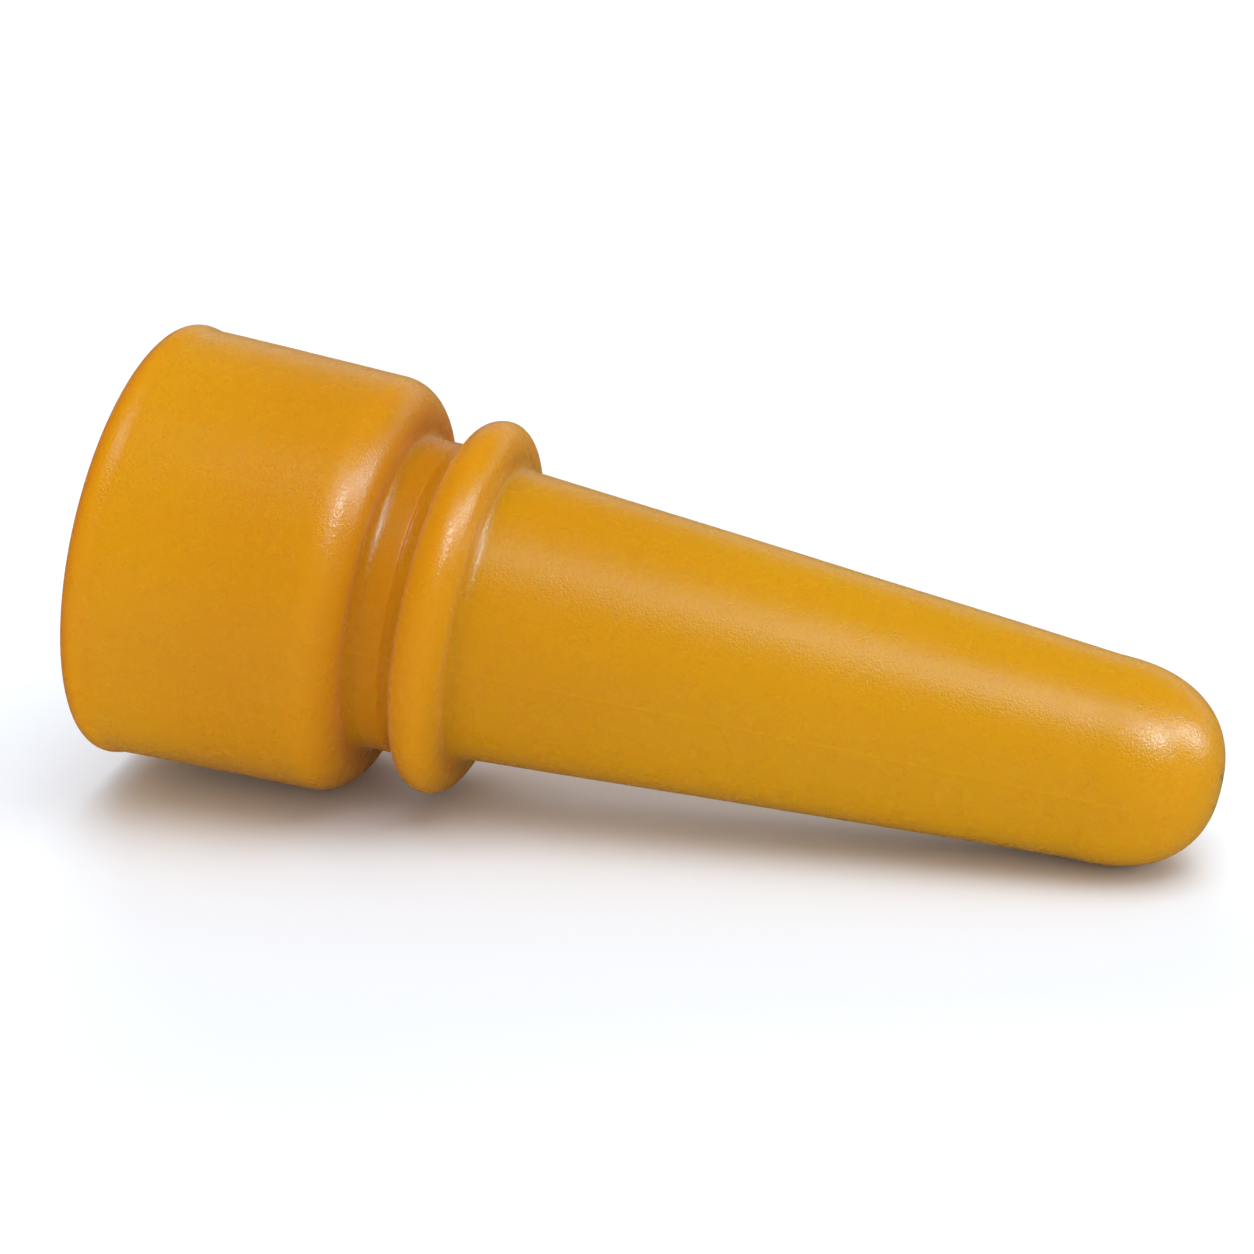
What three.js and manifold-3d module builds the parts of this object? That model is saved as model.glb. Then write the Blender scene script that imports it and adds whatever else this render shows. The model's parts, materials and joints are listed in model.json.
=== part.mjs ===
// A calf feeding teat, moulded in one piece from amber natural rubber.
//
// A wide collar pulls over a feeder's spigot, a neck behind a bead snaps into a plate, and a
// tapered nipple ends in a domed tip with a fine cross cut. The teat lies on its side, at rest
// on its shoulder and its tip: +X runs from the mouth to the tip, +Z is up, and the origin is
// under the middle of its box. Millimetres throughout.

import * as THREE from 'three';
import { mergeVertices } from 'three/addons/utils/BufferGeometryUtils.js';
import Module from 'manifold-3d';

// Distances along the teat's axis, measured from the mouth
const LENGTH = 110;
const LIP_LENGTH = 3.8;
const COLLAR_LENGTH = 27.1;
const BEAD_CENTRE = 34.5;
const DOME_START = 98;

// Outer radii
const LIP_RADIUS = 22.2;
const COLLAR_MOUTH_RADIUS = 21.9;
const COLLAR_SHOULDER_RADIUS = 21.2;
const NECK_RADIUS = 15.8;
const BEAD_RADIUS = 18.95;
const CONE_ROOT_RADIUS = 14.65;
const CONE_END_RADIUS = 10.1;

// Roundings
const LIP_ROUND_DEPTH = 1.6;
const SHOULDER_ROUND_LENGTH = 4.1;
const BEAD_HALF_WIDTH = 2.45;
const FILLET_RADIUS = 1.2;
const DOME_EXPONENT = 2.35;

// The hollow inside
const SOCKET_RADIUS = 17.8;
const SOCKET_DEPTH = 22.5;
const SOCKET_ROUND = 2.0;
const PASSAGE_RADIUS = 11.6;
const PASSAGE_END = 38;
const BORE_END_RADIUS = 6.6;
const TIP_THICKNESS = 4.2;

// The cross cut through the tip
const CUT_LENGTH = 6;
const CUT_WIDTH = 0.3;
const CUT_DEPTH = 10;
const CUT_OVERSHOOT = 1;

// Fineness of the facets
const FACETS_AROUND = 48;
const FACETS_PER_ROUND = 6;
const FACETS_ON_DOME = 9;

// The teat's weight acts near here, between the shoulder and the tip that carry it
const BALANCE_DISTANCE = 45;

// Points nearer than this are one point
const MERGE_DISTANCE = 1e-4;

const QUARTER_TURN = Math.PI / 2;

// Profiles are lists of points (radius, distance from the mouth).
function at(radius, distance) {
  return new THREE.Vector2(radius, distance);
}

// A quarter of an ellipse, by its two half lengths, that starts at startAngle.
function quarterRound(centre, halfLengths, startAngle, clockwise = false) {
  const endAngle = startAngle + (clockwise ? -QUARTER_TURN : QUARTER_TURN);
  const curve = new THREE.EllipseCurve(
    centre.x, centre.y, halfLengths.x, halfLengths.y, startAngle, endAngle, clockwise);
  return curve.getPoints(FACETS_PER_ROUND);
}

// The bore, walked from its closed end behind the tip down to the socket's mouth.
function boreProfile() {
  const endCentre = at(0, LENGTH - TIP_THICKNESS - BORE_END_RADIUS);
  const end = quarterRound(endCentre, at(BORE_END_RADIUS, BORE_END_RADIUS), QUARTER_TURN, true);
  const ceilingCentre = at(SOCKET_RADIUS - SOCKET_ROUND, SOCKET_DEPTH - SOCKET_ROUND);
  const ceiling = quarterRound(ceilingCentre, at(SOCKET_ROUND, SOCKET_ROUND), QUARTER_TURN, true);
  return [
    ...end,
    at(PASSAGE_RADIUS, PASSAGE_END),
    at(PASSAGE_RADIUS, SOCKET_DEPTH),
    ...ceiling,
    at(SOCKET_RADIUS, 0),
  ];
}

// The collar outside: a flat rim, a lip with a rounded edge, a slightly tapered wall, and a
// rounded shoulder that turns in towards the neck.
function collarProfile() {
  const lipHalf = LIP_LENGTH / 2;
  const lipCentre = at(LIP_RADIUS - LIP_ROUND_DEPTH, lipHalf);
  const lipEdge = quarterRound(lipCentre, at(LIP_ROUND_DEPTH, lipHalf), -QUARTER_TURN);
  const shoulderDepth = COLLAR_SHOULDER_RADIUS - NECK_RADIUS - FILLET_RADIUS;
  const shoulderCentre = at(
    COLLAR_SHOULDER_RADIUS - shoulderDepth, COLLAR_LENGTH - SHOULDER_ROUND_LENGTH);
  const shoulder = quarterRound(shoulderCentre, at(shoulderDepth, SHOULDER_ROUND_LENGTH), 0);
  return [...lipEdge, at(COLLAR_MOUTH_RADIUS, LIP_LENGTH), ...shoulder];
}

// The neck between two fillets, one in the shoulder's foot and one in the bead's.
function neckProfile() {
  const fillet = at(FILLET_RADIUS, FILLET_RADIUS);
  const filletRadius = NECK_RADIUS + FILLET_RADIUS;
  const beadFoot = BEAD_CENTRE - BEAD_HALF_WIDTH;
  const shoulderFillet = quarterRound(
    at(filletRadius, COLLAR_LENGTH + FILLET_RADIUS), fillet, -QUARTER_TURN, true);
  const beadFillet = quarterRound(
    at(filletRadius, beadFoot - FILLET_RADIUS), fillet, -Math.PI, true);
  return [...shoulderFillet, ...beadFillet];
}

// The bead: a rounded crest, a little deeper on the nipple's side than on the neck's.
function beadProfile() {
  const neckSide = BEAD_RADIUS - NECK_RADIUS - FILLET_RADIUS;
  const nippleSide = BEAD_RADIUS - CONE_ROOT_RADIUS - FILLET_RADIUS;
  const rise = quarterRound(
    at(BEAD_RADIUS - neckSide, BEAD_CENTRE), at(neckSide, BEAD_HALF_WIDTH), -QUARTER_TURN);
  const fall = quarterRound(
    at(BEAD_RADIUS - nippleSide, BEAD_CENTRE), at(nippleSide, BEAD_HALF_WIDTH), 0);
  return [...rise, ...fall];
}

// The nipple: a fillet at the bead's foot, a straight taper, and a dome whose outline is a
// superellipse, a little fuller than a hemisphere.
function nippleProfile() {
  const beadFoot = BEAD_CENTRE + BEAD_HALF_WIDTH;
  const root = quarterRound(
    at(CONE_ROOT_RADIUS + FILLET_RADIUS, beadFoot + FILLET_RADIUS),
    at(FILLET_RADIUS, FILLET_RADIUS), -QUARTER_TURN, true);
  const domeHeight = LENGTH - DOME_START;
  const dome = [];
  for (let i = 0; i <= FACETS_ON_DOME; i++) {
    const angle = QUARTER_TURN * i / FACETS_ON_DOME;
    dome.push(at(
      CONE_END_RADIUS * Math.cos(angle) ** (2 / DOME_EXPONENT),
      DOME_START + domeHeight * Math.sin(angle) ** (2 / DOME_EXPONENT)));
  }
  dome[FACETS_ON_DOME].x = 0;
  return [...root, ...dome];
}

// The closed outline without the points that two neighbouring stretches share.
function teatProfile() {
  const outline = [
    ...boreProfile(),
    ...collarProfile(),
    ...neckProfile(),
    ...beadProfile(),
    ...nippleProfile(),
  ];
  return outline.filter((point, i) => i === 0 || point.distanceTo(outline[i - 1]) > MERGE_DISTANCE);
}

// A closed geometry as a manifold solid: shared corners merged, slivers on the axis dropped.
function toSolid(geometry) {
  geometry.deleteAttribute('normal');
  geometry.deleteAttribute('uv');
  const merged = mergeVertices(geometry, MERGE_DISTANCE);
  const corners = merged.index.array;
  const triangles = [];
  for (let i = 0; i < corners.length; i += 3) {
    const [a, b, c] = corners.subarray(i, i + 3);
    if (a !== b && b !== c && c !== a) triangles.push(a, b, c);
  }
  return new wasm.Manifold(new wasm.Mesh({
    numProp: 3,
    vertProperties: new Float32Array(merged.attributes.position.array),
    triVerts: new Uint32Array(triangles),
  }));
}

function toGeometry(solid) {
  const { vertProperties, triVerts } = solid.getMesh();
  const geometry = new THREE.BufferGeometry();
  geometry.setAttribute('position', new THREE.BufferAttribute(vertProperties, 3));
  geometry.setIndex(new THREE.BufferAttribute(triVerts, 1));
  geometry.computeVertexNormals();
  return geometry;
}

// One blade of the cross cut, turned about the teat's axis.
function cutBlade(turn) {
  const blade = new THREE.BoxGeometry(CUT_LENGTH, CUT_DEPTH + CUT_OVERSHOOT, CUT_WIDTH);
  blade.translate(0, LENGTH + (CUT_OVERSHOOT - CUT_DEPTH) / 2, 0);
  blade.rotateY(turn);
  return toSolid(blade);
}

// The tilt that brings the shoulder and the tip down to one floor: of all the chords across
// the balance point, the outermost is the line that the floor touches.
function restTilt(outline) {
  const heels = outline.filter((point) => point.y < BALANCE_DISTANCE);
  const toes = outline.filter((point) => point.y > BALANCE_DISTANCE);
  let reach = 0;
  let tilt = 0;
  for (const heel of heels) {
    for (const toe of toes) {
      const slope = (heel.x - toe.x) / (toe.y - heel.y);
      const chord = heel.x - slope * (BALANCE_DISTANCE - heel.y);
      if (chord > reach) {
        reach = chord;
        tilt = Math.atan(slope);
      }
    }
  }
  return tilt;
}

const wasm = await Module();
wasm.setup();

// Half a facet's turn puts a flat of every ring at the bottom, so that the teat lies still.
const profile = teatProfile();
const halfFacet = Math.PI / FACETS_AROUND;
const body = toSolid(new THREE.LatheGeometry(profile, FACETS_AROUND, halfFacet));
const cut = cutBlade(QUARTER_TURN / 2).add(cutBlade(-QUARTER_TURN / 2));

const amberRubber = new THREE.MeshStandardMaterial({
  color: 0xc98a12, roughness: 0.42, metalness: 0 });
const teat = new THREE.Mesh(toGeometry(body.subtract(cut)), amberRubber);
teat.name = 'teat';
teat.rotation.z = -QUARTER_TURN;

// The teat's axis lies along +X, tipped down towards the tip.
const tilted = new THREE.Group();
tilted.rotation.y = restTilt(profile);
tilted.add(teat);

const part = new THREE.Group();
part.add(tilted);
const box = new THREE.Box3().setFromObject(part, true);
const centre = box.getCenter(new THREE.Vector3());
tilted.position.set(-centre.x, -centre.y, -box.min.z);

export default part;
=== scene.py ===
"""Looks for an amber rubber calf feeding teat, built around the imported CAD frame.

The teat is one moulded piece of rubber, so it is one fine mesh of revolution that stands for the
CAD solid, in a translucent amber material, on a white floor under soft studio light.
"""

import json
import math

import bpy
from mathutils import Matrix, Vector


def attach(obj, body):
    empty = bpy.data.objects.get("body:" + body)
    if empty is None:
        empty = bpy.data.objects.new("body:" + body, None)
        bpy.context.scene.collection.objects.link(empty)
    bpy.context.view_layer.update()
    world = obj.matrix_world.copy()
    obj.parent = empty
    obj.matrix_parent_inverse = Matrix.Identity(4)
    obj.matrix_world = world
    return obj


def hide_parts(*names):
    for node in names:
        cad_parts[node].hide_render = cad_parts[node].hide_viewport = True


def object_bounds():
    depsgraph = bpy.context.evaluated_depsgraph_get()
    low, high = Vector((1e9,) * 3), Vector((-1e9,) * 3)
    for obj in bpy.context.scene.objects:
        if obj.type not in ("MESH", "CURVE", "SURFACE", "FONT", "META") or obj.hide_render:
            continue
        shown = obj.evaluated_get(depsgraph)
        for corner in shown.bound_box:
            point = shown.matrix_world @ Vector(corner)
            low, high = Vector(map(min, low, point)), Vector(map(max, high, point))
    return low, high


MM = 0.001

# Distances along the teat's axis, measured from the mouth, in millimetres
LENGTH = 110
LIP_CREST = 1.6
LIP_END = 3.3
COLLAR_LENGTH = 27.1
NECK_STEP = 30.3
NECK_STEP_LENGTH = 0.3
BEAD_CENTRE = 34.5
DOME_START = 98

# Outer radii, in millimetres
LIP_RADIUS = 22.2
COLLAR_MOUTH_RADIUS = 21.9
COLLAR_SHOULDER_RADIUS = 21.2
NECK_RADIUS = 15.8
NECK_STEP_HEIGHT = 0.2
BEAD_RADIUS = 18.95
CONE_ROOT_RADIUS = 14.65
CONE_END_RADIUS = 10.1

# Roundings, in millimetres
LIP_ROUND_DEPTH = 1.6
RIM_INNER_ROUND = 0.7
SHOULDER_ROUND_LENGTH = 4.1
BEAD_HALF_WIDTH = 2.45
FILLET_RADIUS = 1.2
DOME_EXPONENT = 2.35

# The hollow inside, in millimetres
SOCKET_RADIUS = 17.8
SOCKET_DEPTH = 22.5
SOCKET_ROUND = 2.0
PASSAGE_RADIUS = 11.6
PASSAGE_END = 38
PASSAGE_EDGE_ROUND = 0.8
BORE_END_RADIUS = 6.6
TIP_THICKNESS = 4.2

# The cross cut in the tip, in millimetres
CUT_LENGTH = 6
CUT_WIDTH = 0.08
CUT_DEPTH = 0.9
CUT_OVERSHOOT = 1

# The mould's parting line, a fine ridge down both sides of the teat, in millimetres
PARTING_ANGLE = math.radians(92)
PARTING_HEIGHT = 0.05
PARTING_HALF_WIDTH = 0.16

# Unevenness of the wall: its height in millimetres, then waves that add up to it. Each has a
# share of the height, a count around the teat, a twist per millimetre and a start angle.
WOBBLE = 0.06
WOBBLE_WAVES = (
    (0.5, 2, 0.06, 0),
    (0.3, 3, -0.11, 1.3),
    (0.2, 5, 0.23, 2.1),
)

# The soft ends hang a little below a straight line, in millimetres
LIP_DROOP = 0.35
LIP_DROOP_START = 28
TIP_DROOP = 0.35
TIP_DROOP_START = 65

# How deep the rubber's colour is along the axis: a deeper tone on the collar and the cone, and
# painted shade on the lip's rounded edge and in the neck's groove. Each zone has a centre and a
# half width along the axis, in millimetres, and the depth that it adds.
LEAST_DEPTH = 0.1
TONE_AND_SHADE_ZONES = (
    # painted shade on the lip's rounded edge
    (0, 1.5, 0.9),
    # a deeper tone on the collar
    (18, 9, 0.26),
    # painted shade in the neck's groove
    (30, 4, 0.6),
    # a deeper tone on the cone
    (42, 18, 0.2),
)

# Fineness of the mesh, with closer steps on each side of the parting line
AROUND = 300
PARTING_STEPS = 6
PARTING_STEP = math.radians(0.25)
STEP_ALONG = 0.9
ARC_STEPS = 12
DOME_STEPS = 40
SAME_POINT = 1e-4
SHARP_ANGLE = math.radians(50)

# The rubber: two tints that blend in soft clouds, the filter where the colour is deepest, which is
# a deeper tone on the collar and cone and painted shade on the lip's edge and in the neck's
# groove, the range of the gloss, and the skin's pebbles with their depth in metres
CLOUD_SCALE = 45
CLOUD_DETAIL = 3
TINTS = ((0.3, (0.69, 0.332, 0.0, 1)), (0.72, (0.71, 0.346, 0.0, 1)))
CLEAR_FILTER = (1.0, 1.0, 1.0, 1)
# Full depth: a deeper tone, and painted shade on the lip's edge and in the neck's groove
DEEP_TONE_AND_SHADE_FILTER = (0.85, 0.62, 0.7, 1)
GLOSS_SCALE = 300
GLOSS_DETAIL = 4
ROUGHNESS_RANGE = (0.22, 0.32)
PEBBLE_SCALE = 4200
PEBBLE_DETAIL = 0.5
PEBBLE_DISTORTION = 0.8
PEBBLE_DEPTH = 0.00004

# The floor
FLOOR_SIZE = 8
FLOOR_COLOUR = (0.93, 0.955, 0.99, 1)
FLOOR_ROUGHNESS = 0.6
FLOOR_SPECULAR = 0.2

# Camera: its direction from the teat, its distance and where it aims, in metres from the
# centre of the teat's box, and its lens and sensor, in millimetres
CAMERA_AZIMUTH = math.radians(14.73)
CAMERA_ELEVATION = math.radians(20.57)
CAMERA_DISTANCE = 0.2933
AIM_RIGHT = -0.0026
AIM_UP = -0.0036
CAMERA_LENS = 86.12
SENSOR_WIDTH = 36
CLIP_RANGE = (0.01, 50)

# Softboxes: azimuth from +X and elevation as seen from the teat and a roll about that line, in
# degrees, then distance and size in metres, and power in watts. The first group lights the body
# of the rubber and the floor, and the second draws the highlights.
BODY_LIGHTS = {
    "overhead": (-50, 76, 0, 3.0, (2.6, 2.2), 52),
    "back": (110, 28, 0, 2.5, (1.6, 1.0), 20),
    "side": (10, 20, 0, 2.5, (1.6, 1.0), 8),
    "front_fill": (-82, 5, 0, 2.5, (2.0, 0.45), 11),
}
HIGHLIGHTS = {
    "key": (-29, 43, 0, 1.6, (0.34, 0.34), 7.5),
    "strip": (11, 27, -52, 1.6, (1.25, 0.26), 9),
    "top": (-50, 64, 0, 1.6, (0.8, 0.7), 3.5),
    "rim": (80, 12, 0, 2.5, (3.6, 0.8), 4.0),
}
BODY_COLOUR = (0.96, 1.02, 1.1)
HIGHLIGHT_COLOUR = (0.64, 0.95, 1.08)
WORLD_STRENGTH = 0.55


# The outline: points (radius, distance from the mouth), in millimetres


def arc(centre, half_lengths, start, end, steps=ARC_STEPS):
    """Part of an ellipse from the angle start to the angle end, in degrees."""
    points = []
    for i in range(steps + 1):
        angle = math.radians(start + (end - start) * i / steps)
        points.append((centre[0] + half_lengths[0] * math.cos(angle),
                       centre[1] + half_lengths[1] * math.sin(angle)))
    return points


def ease(start, end, steps=ARC_STEPS):
    """A smooth S-shaped step from one point to another."""
    points = []
    for i in range(steps + 1):
        t = i / steps
        blend = t * t * (3 - 2 * t)
        points.append((start[0] + (end[0] - start[0]) * blend,
                       start[1] + (end[1] - start[1]) * t))
    return points


def bore_outline():
    """From the closed end behind the tip down to the rim's inner edge."""
    end_centre = LENGTH - TIP_THICKNESS - BORE_END_RADIUS
    edge = PASSAGE_EDGE_ROUND
    return (
        arc((0, end_centre), (BORE_END_RADIUS, BORE_END_RADIUS), 90, 0)
        + [(PASSAGE_RADIUS, PASSAGE_END)]
        + arc((PASSAGE_RADIUS + edge, SOCKET_DEPTH + edge), (edge, edge), 180, 270)
        + arc((SOCKET_RADIUS - SOCKET_ROUND, SOCKET_DEPTH - SOCKET_ROUND),
              (SOCKET_ROUND, SOCKET_ROUND), 90, 0)
        + arc((SOCKET_RADIUS + RIM_INNER_ROUND, RIM_INNER_ROUND),
              (RIM_INNER_ROUND, RIM_INNER_ROUND), 180, 270)
    )


def collar_outline():
    """The lip's rounded edge, the wall and the shoulder."""
    shoulder_depth = COLLAR_SHOULDER_RADIUS - NECK_RADIUS - FILLET_RADIUS
    return (
        arc((LIP_RADIUS - LIP_ROUND_DEPTH, LIP_CREST), (LIP_ROUND_DEPTH, LIP_CREST), -90, 0)
        + ease((LIP_RADIUS, LIP_CREST), (COLLAR_MOUTH_RADIUS, LIP_END))
        + arc((COLLAR_SHOULDER_RADIUS - shoulder_depth, COLLAR_LENGTH - SHOULDER_ROUND_LENGTH),
              (shoulder_depth, SHOULDER_ROUND_LENGTH), 0, 90, 2 * ARC_STEPS)
    )


def neck_outline():
    """A fillet, the neck with the mould's fine step in it, and a fillet up to the bead."""
    fillet = (FILLET_RADIUS, FILLET_RADIUS)
    bead_foot = BEAD_CENTRE - BEAD_HALF_WIDTH
    low = NECK_RADIUS - NECK_STEP_HEIGHT
    return (
        arc((NECK_RADIUS + FILLET_RADIUS, COLLAR_LENGTH + FILLET_RADIUS), fillet, 270, 180)
        + ease((NECK_RADIUS, NECK_STEP), (low, NECK_STEP + NECK_STEP_LENGTH))
        + arc((low + FILLET_RADIUS, bead_foot - FILLET_RADIUS), fillet, 180, 90)
    )


def bead_outline():
    """The crest, a little deeper on the nipple's side than on the neck's."""
    neck_side = BEAD_RADIUS - NECK_RADIUS + NECK_STEP_HEIGHT - FILLET_RADIUS
    nipple_side = BEAD_RADIUS - CONE_ROOT_RADIUS - FILLET_RADIUS
    return (
        arc((BEAD_RADIUS - neck_side, BEAD_CENTRE), (neck_side, BEAD_HALF_WIDTH), -90, 0)
        + arc((BEAD_RADIUS - nipple_side, BEAD_CENTRE), (nipple_side, BEAD_HALF_WIDTH), 0, 90)
    )


def nipple_outline():
    """A fillet at the bead's foot, the taper, and a dome that is a superellipse."""
    root = arc((CONE_ROOT_RADIUS + FILLET_RADIUS,
                BEAD_CENTRE + BEAD_HALF_WIDTH + FILLET_RADIUS),
               (FILLET_RADIUS, FILLET_RADIUS), 270, 180)
    dome = []
    for i in range(DOME_STEPS + 1):
        angle = math.pi / 2 * i / DOME_STEPS
        dome.append((CONE_END_RADIUS * max(math.cos(angle), 0) ** (2 / DOME_EXPONENT),
                     DOME_START + (LENGTH - DOME_START) * math.sin(angle) ** (2 / DOME_EXPONENT)))
    dome[-1] = (0, LENGTH)
    return root + dome


def subdivided(outline):
    """The outline without repeated points, and with its long straight stretches divided."""
    result = [outline[0]]
    for point in outline[1:]:
        last = result[-1]
        gap = math.dist(last, point)
        if gap < SAME_POINT:
            continue
        pieces = max(1, math.ceil(gap / STEP_ALONG))
        for i in range(1, pieces + 1):
            t = i / pieces
            result.append((last[0] + (point[0] - last[0]) * t, last[1] + (point[1] - last[1]) * t))
    return result


# The teat's place: its axis is read from the mount at the collar's mouth


def teat_placement(record):
    """The matrix that takes (right, forward along the axis, up) in metres to the row frame."""
    mouth = next(m for m in record["mounts"] if m["name"] == "collar_mouth")
    axis = -Vector(mouth["axis"]).normalized()
    side = Vector((0, -1, 0))
    up = side.cross(axis)
    turn = Matrix((axis, side, up)).transposed().to_4x4()
    return Matrix.Translation(Vector(mouth["pos_m"])) @ turn


# The mesh


def angles_around():
    """Even angles, with closer ones beside the parting line on each side of the teat."""
    angles = {round(math.tau * i / AROUND, 6) for i in range(AROUND)}
    for line in (PARTING_ANGLE, PARTING_ANGLE + math.pi):
        for i in range(-PARTING_STEPS, PARTING_STEPS + 1):
            angles.add(round((line + PARTING_STEP * i) % math.tau, 6))
    return sorted(angles)


def wobble(angle, distance):
    """The slow unevenness of moulded rubber, in millimetres."""
    return WOBBLE * sum(
        share * math.sin(count * angle + twist * distance + start)
        for share, count, twist, start in WOBBLE_WAVES)


def parting_ridge(angle, radius, distance):
    """The height of the mould's parting line, from the neck to the tip, in millimetres."""
    if distance < COLLAR_LENGTH:
        return 0
    off = abs((angle - PARTING_ANGLE + math.pi / 2) % math.pi - math.pi / 2)
    return PARTING_HEIGHT * math.exp(-(off * radius / PARTING_HALF_WIDTH) ** 2)


def droop(distance):
    """How far the axis hangs below a straight line, in millimetres."""
    towards_lip = max(0, 1 - distance / LIP_DROOP_START)
    towards_tip = max(0, (distance - TIP_DROOP_START) / (LENGTH - TIP_DROOP_START))
    return LIP_DROOP * towards_lip ** 2 + TIP_DROOP * towards_tip ** 2


def tone_and_shade_depth(distance):
    """The depth of the rubber's colour, up to 1: a deeper tone on the collar and cone, and painted
    shade on the lip's edge and in the neck's groove.
    """
    tone_and_shade = LEAST_DEPTH
    for centre, half_width, added in TONE_AND_SHADE_ZONES:
        tone_and_shade += added * math.exp(-((distance - centre) / half_width) ** 2)
    return min(1, tone_and_shade)


def teat_mesh(placement):
    """The whole teat as one closed mesh of revolution, bore included."""
    bore = subdivided(bore_outline())
    outside = subdivided(collar_outline() + neck_outline() + bead_outline() + nipple_outline())
    rings = bore[1:] + outside[:-1]
    first_outside = len(bore) - 1
    angles = angles_around()
    count = len(angles)
    vertices = []
    for ring, (radius, distance) in enumerate(rings):
        fade = min(1, radius / CONE_END_RADIUS)
        for angle in angles:
            r = radius + fade * wobble(angle, distance)
            if ring >= first_outside:
                r += fade * parting_ridge(angle, radius, distance)
            height = r * math.cos(angle) - droop(distance)
            local = Vector((distance, r * math.sin(angle), height)) * MM
            vertices.append(placement @ local)
    faces = []
    for ring in range(len(rings) - 1):
        for k in range(count):
            after = (k + 1) % count
            a, b = ring * count + k, ring * count + after
            faces.append((a, b, b + count, a + count))
    for pole, ring in ((bore[0], 0), (outside[-1], len(rings) - 1)):
        vertices.append(placement @ (Vector((pole[1], 0, -droop(pole[1]))) * MM))
        for k in range(count):
            a, b = ring * count + k, ring * count + (k + 1) % count
            faces.append((len(vertices) - 1, b, a) if ring == 0 else (a, b, len(vertices) - 1))
    mesh = bpy.data.meshes.new("teat_skin")
    mesh.from_pydata(vertices, [], faces)
    # Per point: painted shade on the lip's edge and in the neck's groove, a deeper tone on the
    # collar and cone
    tones_and_shades = [tone_and_shade_depth(distance) for _, distance in rings for _ in angles]
    tones_and_shades += [tone_and_shade_depth(pole[1]) for pole in (bore[0], outside[-1])]
    mesh.attributes.new("tone_and_shade", "FLOAT", "POINT").data.foreach_set("value", tones_and_shades)
    mesh.update()
    return mesh


def cut_blade(placement, turn):
    """One blade of the cross cut, as a thin box in the tip."""
    size = Vector((CUT_DEPTH + CUT_OVERSHOOT, CUT_LENGTH, CUT_WIDTH)) * MM
    centre = Vector((LENGTH + (CUT_OVERSHOOT - CUT_DEPTH) / 2, 0, -droop(LENGTH))) * MM
    bpy.ops.mesh.primitive_cube_add(size=1)
    blade = bpy.context.object
    blade.matrix_world = (
        placement @ Matrix.Translation(centre) @ Matrix.Rotation(turn, 4, "X")
        @ Matrix.Diagonal((*size, 1))
    )
    return blade


def cross_cut(teat, placement):
    """Cuts the cross in the tip, one blade after the other."""
    for turn in (math.pi / 4, -math.pi / 4):
        blade = cut_blade(placement, turn)
        cut = teat.modifiers.new("cut", "BOOLEAN")
        cut.object = blade
        cut.operation = "DIFFERENCE"
        cut.solver = "MANIFOLD"
        bpy.context.view_layer.objects.active = teat
        bpy.ops.object.modifier_apply(modifier=cut.name)
        bpy.data.objects.remove(blade)


def build_teat(placement):
    """The teat's mesh with the cross cut in it, smooth but for the cut's edges."""
    mesh = teat_mesh(placement)
    teat = bpy.data.objects.new("teat_skin", mesh)
    bpy.context.scene.collection.objects.link(teat)
    cross_cut(teat, placement)
    for face in teat.data.polygons:
        face.use_smooth = True
    teat.data.set_sharp_from_angle(angle=SHARP_ANGLE)
    return teat


# Materials


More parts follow.
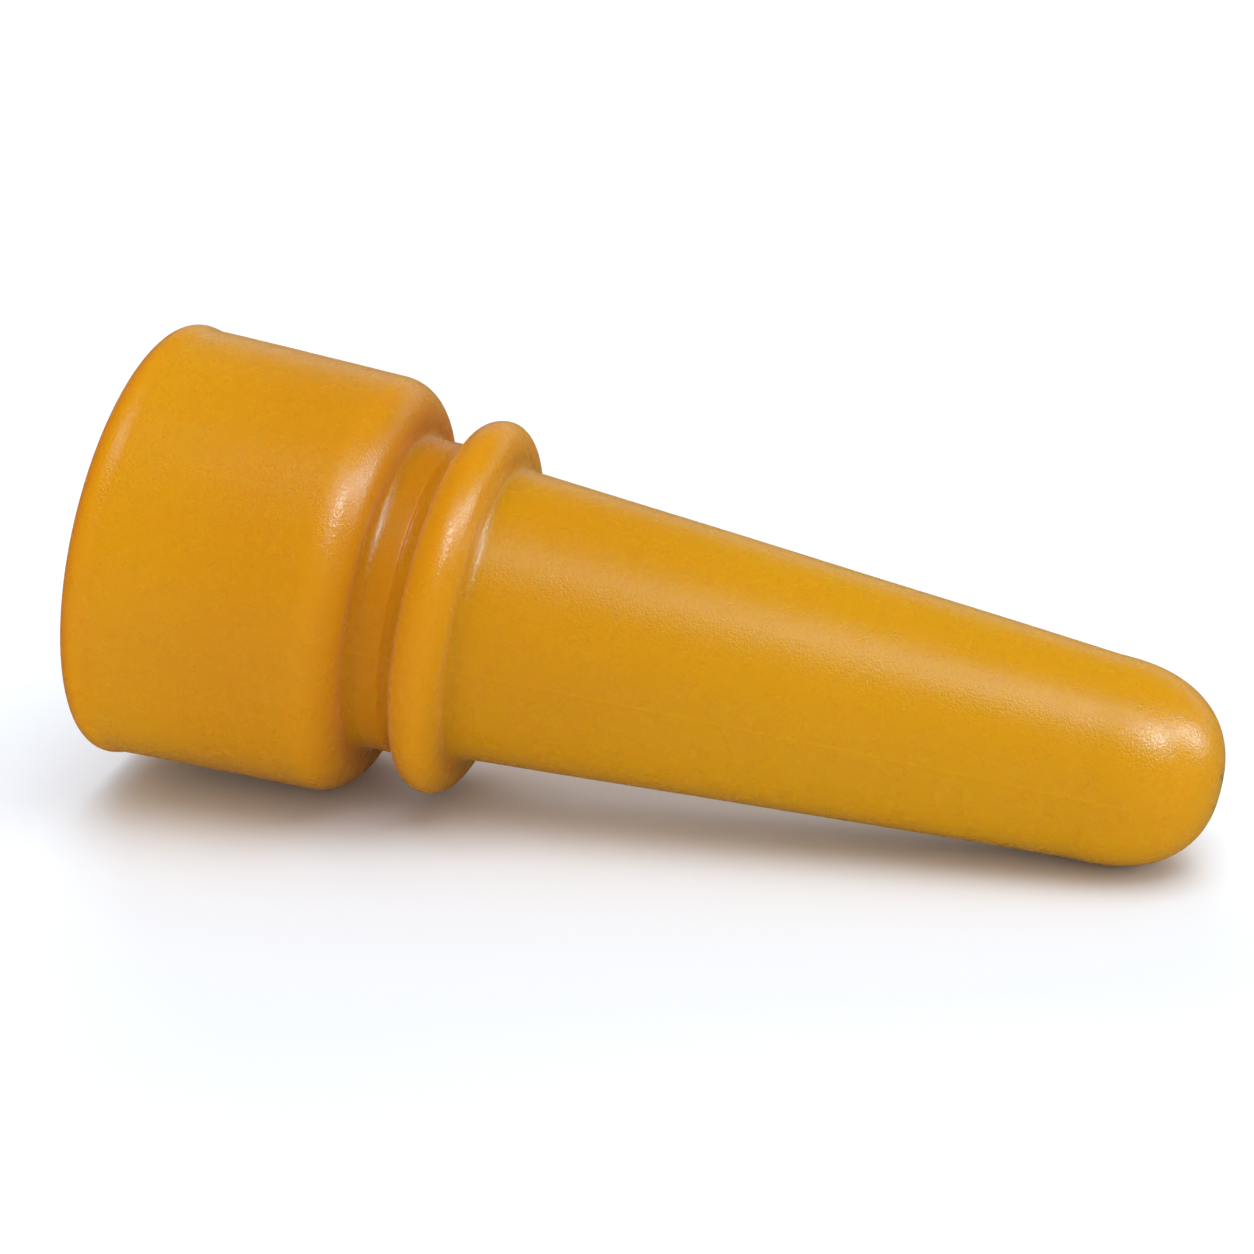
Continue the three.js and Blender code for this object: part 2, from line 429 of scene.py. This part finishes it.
def amber_rubber():
    """Translucent amber latex with a fine pebbled skin, and painted shade on the lip's edge and in
    the neck's groove.
    """
    material = bpy.data.materials.new("amber_rubber")
    material.use_nodes = True
    nodes, links = material.node_tree.nodes, material.node_tree.links
    shader = nodes["Principled BSDF"]
    place = nodes.new("ShaderNodeTexCoord")

    def noise(scale, detail, distortion=0.0):
        node = nodes.new("ShaderNodeTexNoise")
        node.inputs["Scale"].default_value = scale
        node.inputs["Detail"].default_value = detail
        node.inputs["Distortion"].default_value = distortion
        links.new(place.outputs["Object"], node.inputs["Vector"])
        return node

    clouds = noise(CLOUD_SCALE, CLOUD_DETAIL)
    tint = nodes.new("ShaderNodeValToRGB")
    for element, (position, colour) in zip(tint.color_ramp.elements, TINTS):
        element.position = position
        element.color = colour
    links.new(clouds.outputs["Fac"], tint.inputs["Fac"])

    # Painted shade: the attribute deepens the colour on the lip's edge and in the neck's groove,
    # and gives the collar and cone a deeper tone
    tone_and_shade = nodes.new("ShaderNodeAttribute")
    tone_and_shade.attribute_name = "tone_and_shade"
    filter_colour = nodes.new("ShaderNodeValToRGB")
    filter_colour.color_ramp.elements[0].color = CLEAR_FILTER
    filter_colour.color_ramp.elements[1].color = DEEP_TONE_AND_SHADE_FILTER
    links.new(tone_and_shade.outputs["Fac"], filter_colour.inputs["Fac"])
    filtered = nodes.new("ShaderNodeMix")
    filtered.data_type = "RGBA"
    filtered.blend_type = "MULTIPLY"
    filtered.inputs["Factor"].default_value = 1.0
    links.new(tint.outputs["Color"], filtered.inputs["A"])
    links.new(filter_colour.outputs["Color"], filtered.inputs["B"])
    links.new(filtered.outputs["Result"], shader.inputs["Base Color"])

    rub = noise(GLOSS_SCALE, GLOSS_DETAIL)
    gloss = nodes.new("ShaderNodeMapRange")
    gloss.inputs["To Min"].default_value = ROUGHNESS_RANGE[0]
    gloss.inputs["To Max"].default_value = ROUGHNESS_RANGE[1]
    links.new(rub.outputs["Fac"], gloss.inputs["Value"])
    links.new(gloss.outputs["Result"], shader.inputs["Roughness"])

    pebble = noise(PEBBLE_SCALE, PEBBLE_DETAIL, PEBBLE_DISTORTION)
    bump = nodes.new("ShaderNodeBump")
    bump.inputs["Strength"].default_value = 1.0
    bump.inputs["Distance"].default_value = PEBBLE_DEPTH
    links.new(pebble.outputs["Fac"], bump.inputs["Height"])
    links.new(bump.outputs["Normal"], shader.inputs["Normal"])

    shader.inputs["Subsurface Weight"].default_value = 0.8
    shader.inputs["Subsurface Radius"].default_value = (1.0, 0.55, 0.2)
    shader.inputs["Subsurface Scale"].default_value = 0.007
    shader.inputs["Sheen Weight"].default_value = 0.12
    shader.inputs["Sheen Roughness"].default_value = 0.4
    shader.inputs["Sheen Tint"].default_value = (1, 0.9, 0.82, 1)
    shader.inputs["IOR"].default_value = 1.5
    shader.inputs["Specular IOR Level"].default_value = 0.75
    return material


def floor_material():
    """Plain matt white."""
    material = bpy.data.materials.new("white_floor")
    material.use_nodes = True
    shader = material.node_tree.nodes["Principled BSDF"]
    shader.inputs["Base Color"].default_value = FLOOR_COLOUR
    shader.inputs["Roughness"].default_value = FLOOR_ROUGHNESS
    shader.inputs["Specular IOR Level"].default_value = FLOOR_SPECULAR
    return material


# The studio


def add_floor(height):
    """A wide floor at a height in metres, kept out of reflections."""
    bpy.ops.mesh.primitive_plane_add(size=FLOOR_SIZE, location=(0, 0, height))
    floor = bpy.context.object
    floor.name = "floor"
    floor.data.materials.append(floor_material())
    floor.visible_glossy = False


def add_softbox(name, target, azimuth, elevation, roll, distance, size, power):
    """A soft rectangular light that faces the teat."""
    turn, rise = math.radians(azimuth), math.radians(elevation)
    direction = Vector((
        math.cos(rise) * math.cos(turn), math.cos(rise) * math.sin(turn), math.sin(rise)))
    data = bpy.data.lights.new(name, "AREA")
    data.shape = "RECTANGLE"
    data.size, data.size_y = size
    data.energy = power
    light = bpy.data.objects.new(name, data)
    facing = direction.to_track_quat("Z", "Y").to_matrix().to_4x4()
    light.matrix_world = (
        Matrix.Translation(target + direction * distance) @ facing
        @ Matrix.Rotation(math.radians(roll), 4, "Z"))
    bpy.context.scene.collection.objects.link(light)
    return light


def add_lights(target):
    """The body's lights stay out of reflections, and the highlights' lights show only there."""
    for name, settings in BODY_LIGHTS.items():
        light = add_softbox(name, target, *settings)
        light.data.color = BODY_COLOUR
        light.visible_glossy = False
    for name, settings in HIGHLIGHTS.items():
        light = add_softbox(name, target, *settings)
        light.data.color = HIGHLIGHT_COLOUR
        light.visible_diffuse = False


def add_world():
    """An even white surround that doesn't show in reflections."""
    world = bpy.data.worlds.new("studio")
    bpy.context.scene.world = world
    world.use_nodes = True
    background = world.node_tree.nodes["Background"]
    background.inputs["Color"].default_value = (1, 1, 1, 1)
    background.inputs["Strength"].default_value = WORLD_STRENGTH
    world.cycles_visibility.glossy = False


def add_camera(centre):
    """A camera by its azimuth and elevation, its aim beside the object's centre."""
    right = Vector((math.cos(CAMERA_AZIMUTH), math.sin(CAMERA_AZIMUTH), 0))
    forward = Vector((-math.sin(CAMERA_AZIMUTH) * math.cos(CAMERA_ELEVATION),
                      math.cos(CAMERA_AZIMUTH) * math.cos(CAMERA_ELEVATION),
                      -math.sin(CAMERA_ELEVATION)))
    up = right.cross(forward)
    aim = centre + right * AIM_RIGHT + up * AIM_UP
    data = bpy.data.cameras.new("camera")
    data.sensor_width = SENSOR_WIDTH
    data.lens = CAMERA_LENS
    data.clip_start, data.clip_end = CLIP_RANGE
    camera = bpy.data.objects.new("camera", data)
    turn = Matrix((right, up, -forward)).transposed().to_4x4()
    camera.matrix_world = Matrix.Translation(aim - forward * CAMERA_DISTANCE) @ turn
    bpy.context.scene.collection.objects.link(camera)
    bpy.context.scene.camera = camera


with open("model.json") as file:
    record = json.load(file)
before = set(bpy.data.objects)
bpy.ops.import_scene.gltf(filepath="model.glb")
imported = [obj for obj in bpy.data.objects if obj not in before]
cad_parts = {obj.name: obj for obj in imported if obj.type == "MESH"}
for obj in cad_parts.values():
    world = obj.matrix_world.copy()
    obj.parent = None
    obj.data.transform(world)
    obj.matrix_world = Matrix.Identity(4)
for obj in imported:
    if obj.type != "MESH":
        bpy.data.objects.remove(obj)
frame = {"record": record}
cad_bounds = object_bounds()
lowest, highest = (Vector(corner) for corner in cad_bounds)
centre = (lowest + highest) / 2

add_camera(centre)
add_world()
add_lights(centre)

teat = build_teat(teat_placement(frame["record"]))
teat.data.materials.clear()
teat.data.materials.append(amber_rubber())
add_floor(min(vertex.co.z for vertex in teat.data.vertices))
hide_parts("teat")
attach(teat, "root")

bpy.context.scene.view_settings.view_transform = "Standard"
